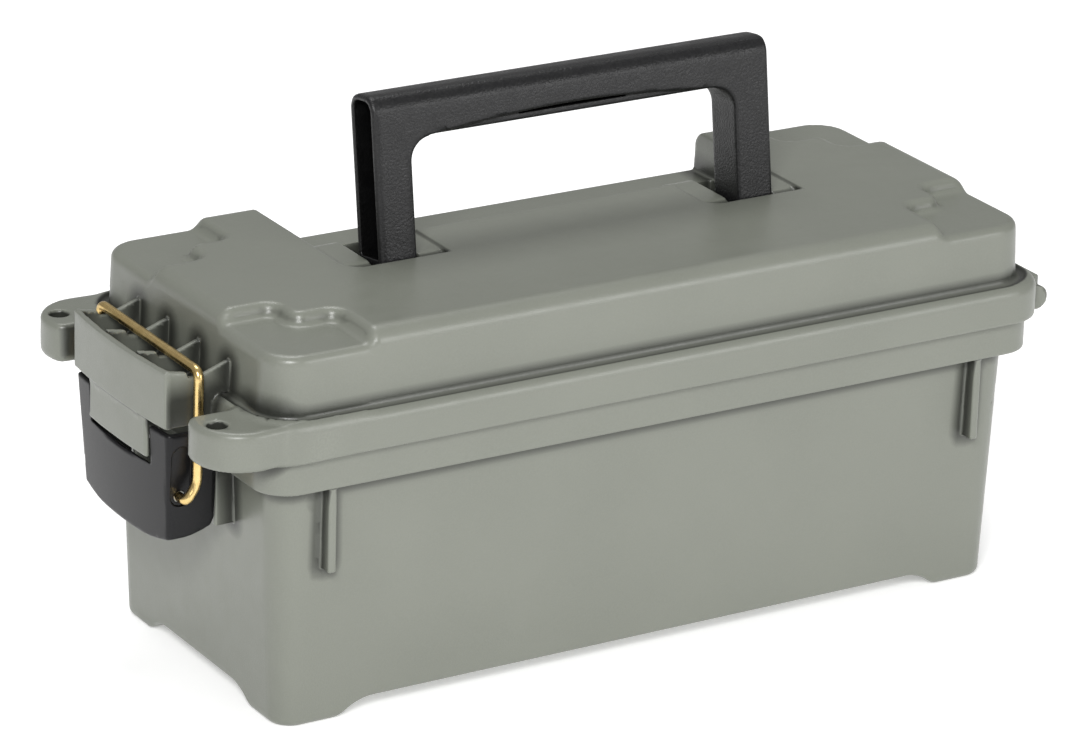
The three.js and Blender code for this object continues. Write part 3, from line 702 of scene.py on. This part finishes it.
def lever_plastic():
    """Black plastic with a fine satin grain and glossier edges, lightened in colour as a painted highlight.
    """
    surface = Surface("lever_plastic", "black_plastic")
    grain = surface.noise(0.6, 3, 0.6)
    colour = surface.blend(surface.level(grain, 0.3, 0.7), (0.004, 0.004, 0.0045), (0.008, 0.008, 0.009))
    edge = surface.edge(0.1, 0.7)
    # painted highlight: edges lightened towards grey in the colour, beside the real lower roughness there
    colour = surface.blend(surface.math("MULTIPLY", edge, 0.3), colour, (0.06, 0.06, 0.062))
    satin = surface.level(grain, 0.3, 0.7, 0.30, 0.38)
    roughness = surface.math("SUBTRACT", satin, surface.math("MULTIPLY", edge, 0.15))
    surface.set(specular_ior_level=0.26)
    return surface.finish(colour, roughness, surface.bump(grain, 0.03))


def brass():
    """Drawn brass wire, faintly tarnished and scratched along its length."""
    surface = Surface("brass", "bail_brass")
    tarnish = surface.level(surface.noise(4, 4, 0.65), 0.35, 0.7)
    colour = surface.blend(tarnish, (0.80, 0.60, 0.27), (0.68, 0.48, 0.19))
    scratch = surface.noise(0.5, 3, 0.6, (1, 0.15, 0.15))
    roughness = surface.level(scratch, 0.3, 0.7, 0.2, 0.36)
    surface.set(metallic=1.0)
    return surface.finish(colour, roughness, surface.bump(scratch, 0.008))


def steel():
    surface = Surface("steel", "pin_steel")
    cloud = surface.level(surface.noise(2, 4), 0.3, 0.7)
    colour = surface.blend(cloud, (0.50, 0.50, 0.50), (0.62, 0.62, 0.61))
    rings = surface.noise(0.3, 2, 0.6, (1, 0.05, 1))
    surface.set(metallic=1.0)
    return surface.finish(colour, surface.level(rings, 0.3, 0.7, 0.25, 0.42), surface.bump(rings, 0.01))


def rubber():
    surface = Surface("rubber", "seal_rubber")
    dust = surface.level(surface.noise(5, 4), 0.45, 0.75)
    colour = surface.blend(dust, (0.018, 0.018, 0.018), (0.04, 0.04, 0.038))
    grain = surface.noise(0.4, 2)
    return surface.finish(colour, surface.level(grain, 0.3, 0.7, 0.6, 0.8), surface.bump(grain, 0.03))


# ---- pieces --------------------------------------------------------------------------------------
def made(name, node, body, surface, field_of, place=None, pitch=None, room=2.5, adaptivity=0.05):
    """The piece that stands for a CAD node, in a block a little larger than the node."""
    low, high = extent(node)
    if place is not None:
        low = (-GRIP["x"] - STUD["length"] - 1, -GRIP["half"], -GRIP["half"])
        high = (GRIP["x"], GRIP["half"], GRIP["top"])
    space = Space(np.array(low) - room, np.array(high) + room, pitch)
    piece = moulding(name, space, field_of(space), place, adaptivity)
    piece.data.materials.append(surface.material)
    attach(piece, body)
    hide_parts(node)


olive = olive_plastic()
lean = Matrix.Translation(SWING) @ Matrix.Rotation(-LEAN, 4, "X")
made("base_moulding", "base_shell", "base", olive, base_field)
made("lid_moulding", "lid_shell", "lid", olive, lid_field, adaptivity=0.12)
made("handle_moulding", "carry_handle", "handle", handle_plastic(), handle_field, lean, 0.5)
made("lever_moulding", "latch_lever", "lever", lever_plastic(), lever_field, None, 0.35)
made("bail_wire", "wire_bail", "bail", brass(), bail_field, None, 0.3)
metal = steel()
made("hinge_rod", "hinge_pin", "base", metal, hinge_rod_field, None, 0.4)
made("latch_rod", "latch_pin", "base", metal, latch_rod_field, None, 0.4)
made("seal_ring", "lid_gasket", "lid", rubber(), gasket_field)


# ---- stage ---------------------------------------------------------------------------------------
CAMERA = {"azimuth": -31.625, "elevation": 21.246, "roll": 1.658, "distance": 1.911, "lens": 179.74}
TARGET = Vector((-0.00597, 0.0, 0.0842))


def camera():
    azimuth, elevation, roll = (math.radians(CAMERA[key]) for key in ("azimuth", "elevation", "roll"))
    flat = math.cos(elevation)
    back = Vector((math.sin(azimuth) * flat, -math.cos(azimuth) * flat, math.sin(elevation)))
    right = back.cross(Vector((0, 0, -1))).normalized()
    up = back.cross(right)
    data = bpy.data.cameras.new("camera")
    data.lens = CAMERA["lens"]
    data.clip_end = 20
    seen = bpy.data.objects.new("camera", data)
    turned = Matrix((right, up, back)).transposed() @ Matrix.Rotation(roll, 3, "Z")
    seen.matrix_world = Matrix.Translation(TARGET + back * CAMERA["distance"]) @ turned.to_4x4()
    bpy.context.scene.collection.objects.link(seen)
    bpy.context.scene.camera = seen


def lamp(name, place, size, power):
    data = bpy.data.lights.new(name, "AREA")
    data.shape = "RECTANGLE"
    data.size, data.size_y = size
    data.energy = power
    light = bpy.data.objects.new(name, data)
    light.location = place
    light.rotation_euler = (TARGET - Vector(place)).to_track_quat("-Z", "Y").to_euler()
    bpy.context.scene.collection.objects.link(light)


def floor():
    """A wide pale floor that glows a little."""
    mesh = bpy.data.meshes.new("floor")
    half = 30
    corners = [(-half, -half, 0), (half, -half, 0), (half, half, 0), (-half, half, 0)]
    mesh.from_pydata(corners, [], [(0, 1, 2, 3)])
    plane = shown("floor", mesh)
    material = bpy.data.materials.new("floor")
    material.use_nodes = True
    shader = material.node_tree.nodes["Principled BSDF"]
    shader.inputs["Base Color"].default_value = (0.92, 0.92, 0.92, 1)
    shader.inputs["Roughness"].default_value = 0.9
    shader.inputs["Emission Color"].default_value = (1, 1, 1, 1)
    shader.inputs["Emission Strength"].default_value = 0.35
    mesh.materials.append(material)


def world():
    bpy.context.scene.world = bpy.data.worlds.new("studio")
    bpy.context.scene.world.use_nodes = True
    background = bpy.context.scene.world.node_tree.nodes["Background"]
    background.inputs["Color"].default_value = (1, 1, 1, 1)
    background.inputs["Strength"].default_value = 0.34


camera()
lamp("key", (-1.2, -1.6, 1.4), (0.7, 0.6), 42)
lamp("fill", (1.0, -1.9, 0.7), (1.0, 0.8), 14)
lamp("top", (0.1, 0.5, 1.6), (0.8, 0.6), 10)
floor()
world()
bpy.context.scene.view_settings.view_transform = "Standard"
